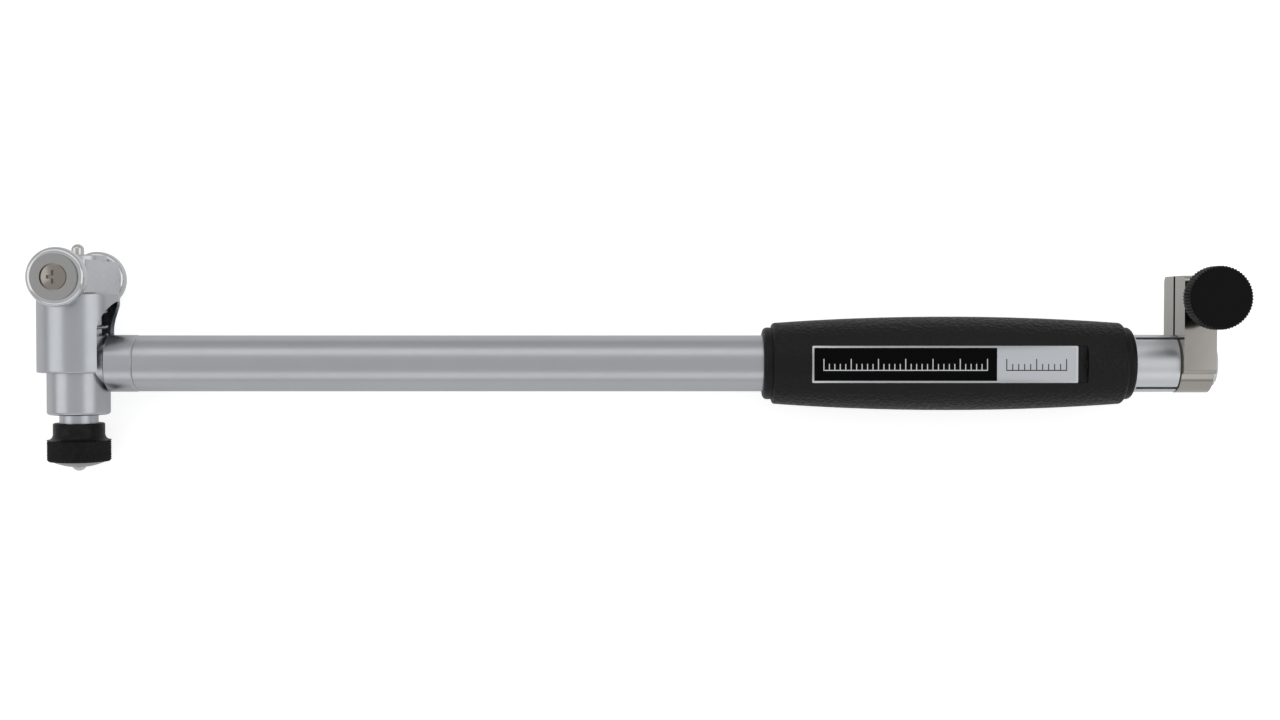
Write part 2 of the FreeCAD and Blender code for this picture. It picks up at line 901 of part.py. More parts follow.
def grip():
    """Moulded barrel-shaped grip with a nose at each end and a flat label pocket."""
    body = new_body("grip")
    start = size("grip_start")
    end = start + size("grip_length")
    nose = size("grip_nose_radius")
    nose_edge = size("grip_nose_edge")
    step = size("grip_nose_length")
    shoulder = size("grip_shoulder_radius")
    rounding = size("grip_shoulder_edge")
    low = start + step + rounding
    high = end - step - rounding
    chord = high - low
    crown = size("grip_crown")
    swell = (chord * chord / 4 + crown * crown) / (crown * 2)
    collet_seat = size("collet_radius") + size("running_gap")
    revolve(body, "moulding", [
        (size("tube_radius"), start),
        (nose - nose_edge, start, nose_edge, 1),
        (nose, start + nose_edge),
        (nose, start + step),
        (shoulder - rounding, start + step, rounding, 1),
        (shoulder, low, swell, 1),
        (shoulder, high, rounding, 1),
        (shoulder - rounding, end - step),
        (nose, end - step),
        (nose, end - nose_edge, nose_edge, 1),
        (nose - nose_edge, end),
        (collet_seat, end),
        (collet_seat, tube_end),
        (size("tube_radius"), tube_end),
    ])
    doc.recompute()
    seat = new_sketch(body, "label_seat_plan", "YZ_Plane", -size("label_seat"))
    half = size("label_width") / 2 + size("seat_gap")
    left = start + size("label_place")
    box_outline(seat, -half, half, left, left + size("label_pocket_length"))
    pocket(body, "label_pocket", seat, side="against")
    return place(body, turn=STEM)


def label_plate():
    """Thin printed plate at the stem end of the pocket."""
    plate = doc.addObject("Part::Box", "label_plate")
    plate.Label = "label_plate"
    for side, alias in (
        ("Length", "label_length"), ("Width", "label_width"), ("Height", "label_thickness"),
    ):
        setattr(plate, side, size(alias).value)
        plate.setExpression(side, size(alias).text)
    left = size("grip_start") + size("label_place") + size("seat_gap")
    return place(plate, left, -size("label_width") / 2, size("label_seat"), DEPTH)


# Collet and clamp -------------------------------------------------------------------

bore_bottom = mouth - size("collet_bore_depth")


def indicator_collet():
    """Split collet that closes on the indicator stem when the clamp is tightened."""
    body = new_body("indicator_collet")
    edge = size("collet_edge")
    outer = size("collet_radius")
    neck = size("collet_neck_radius")
    tail_end = tube_end - size("collet_tail")
    inner = size("collet_inner_radius")
    bore = size("collet_bore_radius")
    revolve(body, "collet_turning", [
        (inner, tail_end),
        (tube_bore, tail_end),
        (tube_bore, tube_end),
        (outer, tube_end),
        (outer, neck_start - edge),
        (outer - edge, neck_start),
        (neck, neck_start),
        (neck, mouth - edge),
        (neck - edge, mouth),
        (bore, mouth),
        (bore, bore_bottom),
        (inner, bore_bottom),
    ])
    doc.recompute()
    slit = new_sketch(body, "slit_plan", "XZ_Plane", None)
    half = size("slit_width") / 2
    box_outline(slit, -half, half, mouth - size("slit_length"), mouth + edge)
    cut = pocket(body, "first_slit", slit, side="against")
    ring = body.newObject("PartDesign::PolarPattern", "slits")
    ring.Originals = [cut]
    ring.Axis = (slit, ["V_Axis"])
    ring.Angle = 360
    ring.Occurrences = int(size("slit_count").value)
    ring.setExpression("Occurrences", size("slit_count").text)
    body.Tip = ring
    spin = Rotation(Vector(0, 0, 1), size("slit_turn").value)
    return place(body, turn=STEM.multiply(spin))


def collet_clamp():
    """Keyhole clamp: a ring round the collet neck and two ears split by a slit."""
    body = new_body("collet_clamp")
    width = size("clamp_width")
    ring = size("clamp_ring_radius")
    ring_plan = new_sketch(body, "ring_plan", "XY_Plane")
    circle(ring_plan, 0, 0, ring)
    pad(body, "ring", ring_plan, width)
    half = size("ear_half_depth")
    low = -size("ear_below")
    top = size("ear_top")
    corner = size("ear_corner")
    foot = size("ear_foot")
    ears = new_sketch(body, "ear_plan", "XY_Plane")
    outline(ears, [
        (-half + foot, low),
        (half - foot, low, foot, 1),
        (half, low + foot),
        (half, top - corner, corner, 1),
        (half - corner, top),
        (-half + corner, top, corner, 1),
        (-half, top - corner),
        (-half, low + foot, foot, 1),
    ])
    pad(body, "ears", ears, width)
    bore = new_sketch(body, "clamp_bore_plan", "XY_Plane")
    circle(bore, 0, 0, size("collet_neck_radius") + size("running_gap"))
    pocket(body, "clamp_bore", bore)
    slit = new_sketch(body, "clamp_slit_plan", "XY_Plane")
    slit_half = size("clamp_slit") / 2
    box_outline(slit, -slit_half, slit_half, 0, top + corner)
    pocket(body, "clamp_slit", slit)
    near = new_sketch(body, "near_hole_plan", "YZ_Plane")
    height = size("clamp_screw_place")
    circle(near, height, width / 2, size("clamp_screw_radius") + size("clamp_hole_gap"))
    pocket(body, "near_hole", near, side="against")
    far = new_sketch(body, "far_hole_plan", "YZ_Plane")
    circle(far, height, width / 2, size("clamp_screw_radius") + size("running_gap"))
    pocket(body, "far_hole", far, side="along")
    return place(body, x=neck_start + size("seat_gap"), turn=STEM)


def clamp_axis_x():
    return neck_start + size("seat_gap") + size("clamp_width") / 2


def clamp_knob():
    """Knurled thumb knob with a long collar that bears on the near ear."""
    body = new_body("clamp_knob")
    collar = size("knob_collar_radius")
    start = size("knob_collar_length")
    top = start + size("knob_thickness")
    outer = size("knob_radius")
    edge = size("knob_edge")
    bore = size("clamp_screw_radius")
    depth = size("knob_bore_depth")
    revolve(body, "knob_turning", [
        (bore, 0),
        (collar, 0),
        (collar, start),
        (outer - edge, start),
        (outer, start + edge),
        (outer, top - edge),
        (outer - edge, top),
        (0, top),
        (0, depth),
        (bore, depth),
    ])
    doc.recompute()
    notch = new_sketch(body, "notch_plan", "XY_Plane", start)
    pitch = outer * (2 * math.pi) / size("knob_teeth")
    deep = outer - size("knob_tooth_depth")
    beyond = outer + size("knob_tooth_depth")
    outline(notch, [(deep, 0), (beyond, -pitch), (beyond, pitch)])
    cut = pocket(body, "first_notch", notch, side="along")
    ring = body.newObject("PartDesign::PolarPattern", "knurl")
    ring.Originals = [cut]
    ring.Axis = (notch, ["N_Axis"])
    ring.Angle = 360
    ring.Occurrences = int(size("knob_teeth").value)
    ring.setExpression("Occurrences", size("knob_teeth").text)
    body.Tip = ring
    face = size("ear_half_depth") + size("seat_gap")
    return place(body, clamp_axis_x(), size("clamp_screw_place"), face, DEPTH)


def clamp_screw():
    """Threaded stud of the thumb screw, from the far ear into the knob."""
    radius = size("clamp_screw_radius")
    length = size("clamp_screw_length")
    body = turned("clamp_screw", [
        (0, 0),
        (radius - size("side_gap"), 0),
        (radius, size("side_gap")),
        (radius, length),
        (0, length),
    ])
    start = size("ear_half_depth") + size("seat_gap") + size("knob_bore_depth") - length
    return place(body, clamp_axis_x(), size("clamp_screw_place"), start, DEPTH)


# Assembly ----------------------------------------------------------------------------

pieces = [
    head_body(),
    crank_pin(),
    bell_crank(),
    contact_plunger(),
    contact_point(),
    push_rod(),
    rod_bush(),
    rod_spring(),
    guide_sleeve(),
    guide_bar(),
    guide_stop_screw(),
    guide_spring(),
    anvil_nut(),
]
cap, ball_centre = anvil_cap()
pieces.append(cap)
pieces.append(anvil_ball(ball_centre))
bar_end = size("bar_half_length")
roller_seat = bar_end + size("side_gap") / 2
for side, turn, seat, bar_face in (
    ("near", DEPTH, roller_seat, bar_end),
    ("far", DEPTH_AWAY, -roller_seat, -bar_end),
):
    pieces.append(roller(side + "_roller", turn, seat))
    pieces.append(roller_hub(side + "_roller_hub", turn, bar_face))
    pieces.append(roller_screw(side + "_roller_screw", turn, bar_face))
pieces.extend([
    stem_tube(),
    grip(),
    label_plate(),
    indicator_collet(),
    collet_clamp(),
    clamp_knob(),
    clamp_screw(),
])

doc.recompute()
faults = [item.Name for item in doc.Objects if "Invalid" in item.State or "Error" in item.State]
for piece in pieces:
    if piece.Shape.isNull() or not piece.Shape.isValid() or not piece.Shape.Solids:
        faults.append(piece.Label)
if faults:
    raise RuntimeError("failed: " + ", ".join(faults))

os.makedirs("parts", exist_ok=True)
for piece in pieces:
    piece.Shape.exportStep("parts/" + piece.Label + ".step")
    print(piece.Label, len(piece.Shape.Solids), round(piece.Shape.Volume, 2))
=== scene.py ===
import json
import math

import bmesh
import bpy
from mathutils import Matrix, Vector

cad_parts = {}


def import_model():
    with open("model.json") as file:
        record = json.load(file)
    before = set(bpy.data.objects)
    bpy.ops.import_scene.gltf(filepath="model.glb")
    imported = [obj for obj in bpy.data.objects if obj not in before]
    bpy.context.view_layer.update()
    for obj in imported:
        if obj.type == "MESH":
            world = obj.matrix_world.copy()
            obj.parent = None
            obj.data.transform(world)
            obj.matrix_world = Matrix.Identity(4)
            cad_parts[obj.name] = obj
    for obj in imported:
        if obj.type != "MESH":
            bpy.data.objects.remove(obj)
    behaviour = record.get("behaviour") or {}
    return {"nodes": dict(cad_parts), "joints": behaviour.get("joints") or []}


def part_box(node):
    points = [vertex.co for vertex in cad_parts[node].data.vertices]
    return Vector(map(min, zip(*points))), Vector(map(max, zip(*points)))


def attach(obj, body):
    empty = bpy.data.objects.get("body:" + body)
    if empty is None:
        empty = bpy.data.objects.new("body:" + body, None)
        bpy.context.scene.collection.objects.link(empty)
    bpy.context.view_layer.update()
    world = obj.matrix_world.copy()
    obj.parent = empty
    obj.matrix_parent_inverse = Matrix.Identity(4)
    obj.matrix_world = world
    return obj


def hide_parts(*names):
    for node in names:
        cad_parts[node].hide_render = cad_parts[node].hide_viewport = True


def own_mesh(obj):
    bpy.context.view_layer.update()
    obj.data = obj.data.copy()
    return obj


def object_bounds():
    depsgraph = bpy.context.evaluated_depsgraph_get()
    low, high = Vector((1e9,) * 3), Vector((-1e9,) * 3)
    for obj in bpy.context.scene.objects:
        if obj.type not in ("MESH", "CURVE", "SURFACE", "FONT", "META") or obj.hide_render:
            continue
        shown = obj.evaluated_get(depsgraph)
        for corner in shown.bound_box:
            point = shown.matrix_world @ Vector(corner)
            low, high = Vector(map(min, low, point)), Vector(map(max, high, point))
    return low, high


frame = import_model()
cad_low, cad_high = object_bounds()

MM = 0.001
JOINTS = {joint["name"]: joint for joint in frame["joints"]}

# The gauge's own axes: x along the stem, y along the measuring axis, z out of the label.
head_centre = Vector(JOINTS["anvil_turn"]["pos_m"])
along_stem = Vector((1, 0, 0))
measuring = Vector(JOINTS["anvil_turn"]["axis"]).normalized()
outward = along_stem.cross(measuring)
GAUGE = Matrix.Translation(head_centre) @ Matrix((along_stem, measuring, outward)).transposed().to_4x4()

# Camera: its place in gauge millimetres, its dip below the label's normal, its lens and sensor in mm.
CAMERA_PLACE = Vector((125.1, 10.73, 400))
CAMERA_DIP = math.radians(1.43)
CAMERA_LENS = 50.5
CAMERA_SENSOR = 36

# Anvil nut, in millimetres; the knurl is counted in teeth, rows and points round each tooth.
KNURL_TEETH = 46
KNURL_ROWS = 44
KNURL_POINTS = 8
KNURL_DEPTH = 0.33
KNURL_LAND = 0.05
NUT_COLLAR_RADIUS = 5.6
NUT_COLLAR_LENGTH = 2.4
NUT_COVE = 1.35
NUT_COVE_STEPS = 8
NUT_EDGE = 0.4
NUT_CAP_DEPTH = 1.0

# Springs: the wire in millimetres, and how strongly the end turns close up.
WIRE_RADIUS = 0.3
WIRE_SIDES = 10
STEPS_A_TURN = 40
CLOSED_ENDS = 1 / 12
GUIDE_TURNS = 3.25
ROD_TURNS = 6

# Label, in millimetres; the split is a share of its length.
LABEL_BORDER = 0.45
LABEL_CORNER = 0.3
LABEL_SPLIT = 0.695
FIELD_GAP = 0.15
FIELD_CORNER = 0.12
CORNER_SEGMENTS = 4
FILM = 0.04
FILM_SINK = 0.01
SCALE_INSET = 2
SCALE_RISE = 2.2
DARK_TICKS = 31
METAL_TICKS = 11
TICK_GROUP = 5
TICK_WIDTH = 0.2
TICK_LONG = 2.6
TICK_SHORT = 1.5

# The grip's plain noses, and the margin before its grain starts, in millimetres.
GRIP_NOSE = 2.0
GRAIN_MARGIN = 0.5

# Depth of the finest relief on metal and print, in metres.
SKIN = 0.00001

# Studio: the floor in metres, its grey, and its glow and the sky's two shades.
FLOOR_REACH = 6.0
FLOOR_GAP = 0.0001
FLOOR_GREY = (0.55, 0.55, 0.55, 1)
GLOW_TO_CAMERA = 0.75
GLOW_TO_GLOSS = 0.3
SKY_LOW = (0.50, 0.50, 0.505, 1)
SKY_HIGH = (0.62, 0.625, 0.635, 1)

# Lamps: name, place and target in gauge millimetres, width and height in metres, power in watts.
LAMPS = (
    ("strip_above", (110, 560, 470), (110, 0, 0), 1.4, 0.35, 0.75),
    ("strip_below", (110, -560, 470), (110, 0, 0), 1.4, 0.35, 0.75),
    ("side", (-500, 60, 420), (0, 0, 0), 0.4, 0.5, 0.4),
    ("stem_side", (620, 60, 420), (60, 0, 0), 0.5, 0.5, 0.5),
)

# Sockets of the Mix node when it mixes colours.
MIX_FACTOR, MIX_FIRST, MIX_SECOND, MIX_RESULT = 0, 6, 7, 2


# Frame helpers ----------------------------------------------------------------


def extent(node):
    """A node's lowest and highest corner along the gauge's own axes, in millimetres."""
    inverse = GAUGE.inverted()
    points = [inverse @ vertex.co for vertex in frame["nodes"][node].data.vertices]
    low = Vector([min(point[i] for point in points) for i in range(3)])
    high = Vector([max(point[i] for point in points) for i in range(3)])
    return low / MM, high / MM


def add_piece(name, points, faces, material, body, smooth=40):
    """A mesh from gauge millimetres, which rides on a body."""
    mesh = bpy.data.meshes.new(name)
    mesh.from_pydata([GAUGE @ (Vector(point) * MM) for point in points], [], faces)
    mesh.validate()
    shell = bmesh.new()
    shell.from_mesh(mesh)
    bmesh.ops.recalc_face_normals(shell, faces=shell.faces)
    shell.to_mesh(mesh)
    shell.free()
    mesh.shade_smooth()
    mesh.set_sharp_from_angle(angle=math.radians(smooth))
    mesh.materials.append(material)
    piece = bpy.data.objects.new(name, mesh)
    bpy.context.scene.collection.objects.link(piece)
    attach(piece, body)
    return piece


# Materials ----------------------------------------------------------------------


class Finish:
    """A node material with small helpers; coordinates are metres in the row frame."""

    def __init__(self, name, colour, metallic, roughness):
        self.material = bpy.data.materials.new(name)
        self.material.use_nodes = True
        self.tree = self.material.node_tree
        self.shader = self.tree.nodes["Principled BSDF"]
        self.shader.inputs["Base Color"].default_value = (*colour, 1)
        self.shader.inputs["Metallic"].default_value = metallic
        self.shader.inputs["Roughness"].default_value = roughness
        self.place = self.node("TexCoord").outputs["Object"]

    def node(self, kind, **settings):
        """A new shader node with its properties set."""
        made = self.tree.nodes.new("ShaderNode" + kind)
        for key, value in settings.items():
            setattr(made, key, value)
        return made

    def join(self, output, target):
        self.tree.links.new(output, target)

    def math(self, operation, first, second):
        """A Math node over two numbers or outputs."""
        made = self.node("Math", operation=operation)
        for index, value in enumerate((first, second)):
            if isinstance(value, (int, float)):
                made.inputs[index].default_value = value
            else:
                self.join(value, made.inputs[index])
        return made.outputs[0]

    def noise(self, scale, detail=3.0, along=None):
        """Noise over the surface, or only along one axis for turned rings."""
        made = self.node("TexNoise")
        made.inputs["Scale"].default_value = scale
        made.inputs["Detail"].default_value = detail
        if along is None:
            self.join(self.place, made.inputs["Vector"])
        else:
            made.noise_dimensions = "1D"
            dot = self.node("VectorMath", operation="DOT_PRODUCT")
            self.join(self.place, dot.inputs[0])
            dot.inputs[1].default_value = along
            self.join(dot.outputs["Value"], made.inputs["W"])
        return made.outputs[0]

    def spread(self, output, low, high):
        """The middle of a noise's range stretched from low to high."""
        made = self.node("MapRange")
        made.inputs["From Min"].default_value = 0.3
        made.inputs["From Max"].default_value = 0.7
        made.inputs["To Min"].default_value = low
        made.inputs["To Max"].default_value = high
        self.join(output, made.inputs["Value"])
        return made.outputs[0]

    def rough(self, output, low, high):
        """Roughness that varies with an output."""
        self.join(self.spread(output, low, high), self.shader.inputs["Roughness"])

    def bump(self, output, strength, distance):
        """Relief from an output, its distance in metres."""
        made = self.node("Bump")
        made.inputs["Strength"].default_value = strength
        made.inputs["Distance"].default_value = distance
        self.join(output, made.inputs["Height"])
        self.join(made.outputs["Normal"], self.shader.inputs["Normal"])

    def tint(self, output, first, second):
        """Base colour that varies between two colours."""
        made = self.node("Mix", data_type="RGBA")
        self.join(self.spread(output, 0, 1), made.inputs[MIX_FACTOR])
        for socket, colour in ((MIX_FIRST, first), (MIX_SECOND, second)):
            made.inputs[socket].default_value = (*colour, 1)
        self.join(made.outputs[MIX_RESULT], self.shader.inputs["Base Color"])


def turned_metal(name, colour, roughness, along, rings=2600, relief=0.12):
    """Metal with fine turned rings, a little uneven in polish."""
    finish = Finish(name, colour, 1.0, roughness)
    finish.rough(finish.noise(420), roughness * 0.92, roughness * 1.1)
    finish.bump(finish.noise(rings, 4.0, along), relief, SKIN)
    darker = tuple(channel * 0.97 for channel in colour)
    finish.tint(finish.noise(90), colour, darker)
    return finish.material


def cast_metal(name, colour, roughness, relief=0.1):
    """Plated metal with a faint uneven skin."""
    finish = Finish(name, colour, 1.0, roughness)
    finish.rough(finish.noise(500), roughness * 0.9, roughness * 1.12)
    finish.bump(finish.noise(1500, 5.0), relief, SKIN)
    darker = tuple(channel * 0.96 for channel in colour)
    finish.tint(finish.noise(110), colour, darker)
    return finish.material


def grained_grip():
    """Black moulding with a leather grain between its plain noses."""
    finish = Finish("grip_grain", (0.006, 0.006, 0.0065), 0.0, 0.5)
    cells = finish.node("TexVoronoi", feature="SMOOTH_F1")
    cells.inputs["Scale"].default_value = 1150
    cells.inputs["Smoothness"].default_value = 0.35
    warp = finish.node("VectorMath", operation="MULTIPLY_ADD")
    wobble = finish.node("TexNoise")
    wobble.inputs["Scale"].default_value = 900
    finish.join(finish.place, wobble.inputs["Vector"])
    finish.join(wobble.outputs["Color"], warp.inputs[0])
    warp.inputs[1].default_value = (0.0007, 0.0007, 0.0007)
    finish.join(finish.place, warp.inputs[2])
    finish.join(warp.outputs[0], cells.inputs["Vector"])
    low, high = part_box("grip")
    side = finish.node("SeparateXYZ")
    finish.join(finish.place, side.inputs[0])
    inner_low = low.x + (GRIP_NOSE + GRAIN_MARGIN) * MM
    inner_high = high.x - (GRIP_NOSE + GRAIN_MARGIN) * MM
    after = finish.math("GREATER_THAN", side.outputs["X"], inner_low)
    before = finish.math("LESS_THAN", side.outputs["X"], inner_high)
    mask = finish.math("MULTIPLY", after, before)
    grain = finish.math("MULTIPLY", cells.outputs["Distance"], mask)
    finish.bump(grain, 0.75, 0.00022)
    finish.rough(cells.outputs["Distance"], 0.5, 0.38)
    finish.shader.inputs["Specular IOR Level"].default_value = 0.2
    return finish.material


def plain_black(name, roughness, grain, relief):
    """Black moulding with a fine even skin."""
    finish = Finish(name, (0.004, 0.004, 0.004), 0.0, roughness)
    finish.shader.inputs["Specular IOR Level"].default_value = 0.08
    finish.rough(finish.noise(grain), roughness * 0.8, roughness * 1.25)
    finish.bump(finish.noise(grain * 2), relief, 0.00002)
    return finish.material


def black_oxide():
    """Blackened steel, a little mottled."""
    finish = Finish("nut_oxide", (0.006, 0.006, 0.006), 0.0, 0.32)
    finish.shader.inputs["Specular IOR Level"].default_value = 0.15
    finish.rough(finish.noise(800), 0.28, 0.42)
    finish.tint(finish.noise(700), (0.005, 0.005, 0.005), (0.011, 0.011, 0.011))
    finish.bump(finish.noise(3000), 0.15, SKIN)
    return finish.material


def film(name, colour, roughness, gloss):
    """Print on the label."""
    finish = Finish(name, colour, 0.0, roughness)
    finish.shader.inputs["Specular IOR Level"].default_value = gloss
    finish.rough(finish.noise(700), roughness * 0.85, roughness * 1.2)
    finish.bump(finish.noise(2500), 0.05, SKIN)
    return finish.material


x_axis = tuple(along_stem)
y_axis = tuple(measuring)
z_axis = tuple(outward)
HEAD = turned_metal("head_satin", (0.50, 0.515, 0.54), 0.3, y_axis)
BAR = cast_metal("bar_satin", (0.58, 0.595, 0.62), 0.28)
ROLLER = turned_metal("roller_polish", (0.62, 0.63, 0.64), 0.09, z_axis, relief=0.05)
HUB = turned_metal("hub_polish", (0.46, 0.45, 0.44), 0.14, z_axis)
SCREW = cast_metal("screw_nickel", (0.34, 0.31, 0.27), 0.2, 0.2)
INNER = turned_metal("inner_steel", (0.44, 0.45, 0.46), 0.22, x_axis)
HARD = cast_metal("hard_metal", (0.62, 0.62, 0.60), 0.16)
BUSH = turned_metal("bush_bronze", (0.50, 0.35, 0.17), 0.3, x_axis)
CAP = turned_metal("cap_steel", (0.26, 0.26, 0.26), 0.24, y_axis)
TUBE = turned_metal("stem_satin", (0.50, 0.51, 0.53), 0.30, x_axis, 1400, 0.05)
COLLET = turned_metal("collet_satin", (0.66, 0.67, 0.69), 0.38, x_axis)
CLAMP = cast_metal("clamp_nickel", (0.40, 0.38, 0.35), 0.12, 0.05)
WIRE = turned_metal("spring_wire", (0.34, 0.35, 0.37), 0.3, x_axis)
KNOB = plain_black("knob_black", 0.42, 1400, 0.12)
GRIP = grained_grip()
NUT = black_oxide()
FIELD = film("label_black", (0.002, 0.002, 0.002), 0.5, 0.04)
SILVER = film("label_silver", (0.55, 0.575, 0.60), 0.38, 0.3)
BORDER = film("label_border", (0.66, 0.67, 0.68), 0.42, 0.3)
INK = film("label_ink", (0.012, 0.012, 0.013), 0.5, 0.2)

FINISHES = {
    HEAD: ["head_body", "guide_sleeve", "contact_plunger"],
    BAR: ["guide_bar"],
    ROLLER: ["near_roller", "far_roller"],
    HUB: ["near_roller_hub", "far_roller_hub"],
    SCREW: ["near_roller_screw", "far_roller_screw", "guide_stop_screw"],
    INNER: ["crank_pin", "bell_crank", "push_rod", "clamp_screw"],
    HARD: ["contact_point", "anvil_ball"],
    BUSH: ["rod_bush"],
    CAP: ["anvil_cap"],
    TUBE: ["stem_tube"],
    COLLET: ["indicator_collet"],
    CLAMP: ["collet_clamp"],
    KNOB: ["clamp_knob"],
    GRIP: ["grip"],
}


def dress_frame():
    """Gives each carried-over node its finish."""
    for material, names in FINISHES.items():
        for name in names:
            mesh = frame["nodes"][name].data
            mesh.materials.clear()
            mesh.materials.append(material)


# Anvil nut ----------------------------------------------------------------------


def knurl_height(share, row):
    """Height of a diamond knurl, 0 in a groove and 1 on a crest."""
    first = abs(((share + row) % 1.0) * 2 - 1)
    second = abs(((share - row) % 1.0) * 2 - 1)
    return min(first, second)


def knurled_nut():
    """The ring nut with its diamond knurl cut as real form."""
    low, high = extent("anvil_nut")
    cap_radius = extent("anvil_cap")[1].x
    inverse = GAUGE.inverted()
    corners = [inverse @ vertex.co / MM for vertex in frame["nodes"]["anvil_nut"].data.vertices]
    bore = min(math.hypot(corner.x, corner.z) for corner in corners)
    outer = high.x
    top = high.y
    bottom = low.y
    knurl_top = top - NUT_COLLAR_LENGTH - NUT_COVE
    cap_top = bottom + NUT_CAP_DEPTH
    profile = [(bore, cap_top), (bore, top), (NUT_COLLAR_RADIUS - NUT_EDGE / 2, top)]
    profile.append((NUT_COLLAR_RADIUS, top - NUT_EDGE / 2))
    cove = outer - NUT_COLLAR_RADIUS
    for step in range(NUT_COVE_STEPS + 1):
        angle = math.pi / 2 * step / NUT_COVE_STEPS
        profile.append((outer - cove * math.cos(angle), knurl_top + cove - cove * math.sin(angle)))
    knurl_bottom = bottom + NUT_EDGE
    knurl_start = knurl_top - KNURL_LAND
    first_knurl = len(profile)
    for row in range(KNURL_ROWS + 1):
        profile.append((outer, knurl_start - (knurl_start - knurl_bottom) * row / KNURL_ROWS))
    last_knurl = len(profile)
    profile += [(outer - NUT_EDGE, bottom), (cap_radius, bottom), (cap_radius, cap_top)]
    columns = KNURL_TEETH * KNURL_POINTS
    pitch = 2 * math.pi * outer / KNURL_TEETH
    points = []
    for index, (radius, height) in enumerate(profile):
        for column in range(columns):
            share = column / columns
            here = radius
            if first_knurl <= index < last_knurl:
                crest = knurl_height(share * KNURL_TEETH, height / pitch)
                here = radius - KNURL_DEPTH * (1 - crest)
            angle = 2 * math.pi * share
            points.append((here * math.cos(angle), height, here * math.sin(angle)))
    faces = []
    count = len(profile)
    for index in range(count):
        for column in range(columns):
            right = (column + 1) % columns
            below = (index + 1) % count
            faces.append((index * columns + column, index * columns + right,
                          below * columns + right, below * columns + column))
    nut = add_piece("knurled_nut", points, faces, NUT, "anvil", 50)
    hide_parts("anvil_nut")


# Springs ------------------------------------------------------------------------


def coil(name, centre, axis, across, radius, length, turns):
    """A round wire wound about an axis, with its end turns closed up."""
    steps = int(turns * STEPS_A_TURN)
    other = axis.cross(across)
    points = []
    for step in range(steps + 1):
        share = step / steps
        rise = share - CLOSED_ENDS * math.sin(2 * math.pi * share)
        angle = 2 * math.pi * turns * share
        radial = across * math.cos(angle) + other * math.sin(angle)
        middle = centre + axis * (WIRE_RADIUS + (length - 2 * WIRE_RADIUS) * rise) + radial * radius
        for side in range(WIRE_SIDES):
            turn = 2 * math.pi * side / WIRE_SIDES
            points.append(middle + (radial * math.cos(turn) + axis * math.sin(turn)) * WIRE_RADIUS)
    faces = []
    for step in range(steps):
        for side in range(WIRE_SIDES):
            after = (side + 1) % WIRE_SIDES
            here = step * WIRE_SIDES
            beyond = here + WIRE_SIDES
            faces.append((here + side, here + after, beyond + after, beyond + side))
    faces.append(tuple(range(WIRE_SIDES)))
    faces.append(tuple(steps * WIRE_SIDES + side for side in reversed(range(WIRE_SIDES))))
    return add_piece(name, points, faces, WIRE, "stem", 60)


def guide_spring():
    """The guide's return coil, wound from its lower end and carried on the stem."""
    low, high = extent("guide_spring")
    length = high.y - low.y
    radius = (high.z - low.z) / 2 - WIRE_RADIUS
    base = Vector((0, low.y, 0))
    piece = coil("guide_coil", base, Vector((0, 1, 0)), Vector((1, 0, 0)), radius, length, GUIDE_TURNS)
    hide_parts("guide_spring")
    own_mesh(piece)


def rod_spring():
    """The rod's return coil, wound from its far end and carried on the stem."""
    low, high = extent("rod_spring")
    length = high.x - low.x
    radius = (high.z - low.z) / 2 - WIRE_RADIUS
    base = Vector((low.x, 0, 0))
    piece = coil("rod_coil", base, Vector((1, 0, 0)), Vector((0, 1, 0)), radius, length, ROD_TURNS)
    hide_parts("rod_spring")
    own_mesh(piece)


# Label --------------------------------------------------------------------------


def panel(name, low, high, material, corner):
    """A thin rectangular film with rounded corners."""
    shell = bmesh.new()
    bmesh.ops.create_cube(shell, size=1)
    span = high - low
    for vertex in shell.verts:
        vertex.co = Vector([low[i] + (vertex.co[i] + 0.5) * span[i] for i in range(3)])
    upright = [edge for edge in shell.edges if abs(edge.verts[0].co.z - edge.verts[1].co.z) > span.z / 2]
    bmesh.ops.bevel(
        shell, geom=upright, offset=corner, segments=CORNER_SEGMENTS, affect="EDGES", profile=0.5,
    )
    shell.verts.index_update()
    points = [vertex.co.copy() for vertex in shell.verts]
    faces = [tuple(vertex.index for vertex in face.verts) for face in shell.faces]
    shell.free()
    return add_piece(name, points, faces, material, "stem")


def label():
    """A dark field and a metal field inside a pale border, each with a plain scale."""
    low, high = extent("label_plate")
    base = panel("label_base", low, high - Vector((0, 0, 2 * FILM)), BORDER, LABEL_CORNER)
    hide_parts("label_plate")
    left = low.x + LABEL_BORDER
    right = high.x - LABEL_BORDER
    split = low.x + (high.x - low.x) * LABEL_SPLIT
    bottom = low.y + LABEL_BORDER
    top = high.y - LABEL_BORDER
    under = high.z - 2 * FILM - FILM_SINK
    over = high.z - FILM
    metal_left = split + FIELD_GAP
    fields = (("label_dark", left, split, FIELD), ("label_metal", metal_left, right, SILVER))
    for name, start, end, material in fields:
        panel(name, Vector((start, bottom, under)), Vector((end, top, over)), material, FIELD_CORNER)
    base_line = bottom + SCALE_RISE
    ticks("label_scale_dark", left + SCALE_INSET, split - SCALE_INSET, base_line, DARK_TICKS, over, BORDER)
    ticks("label_scale_metal", split + SCALE_INSET, right - SCALE_INSET, base_line, METAL_TICKS, over, INK)


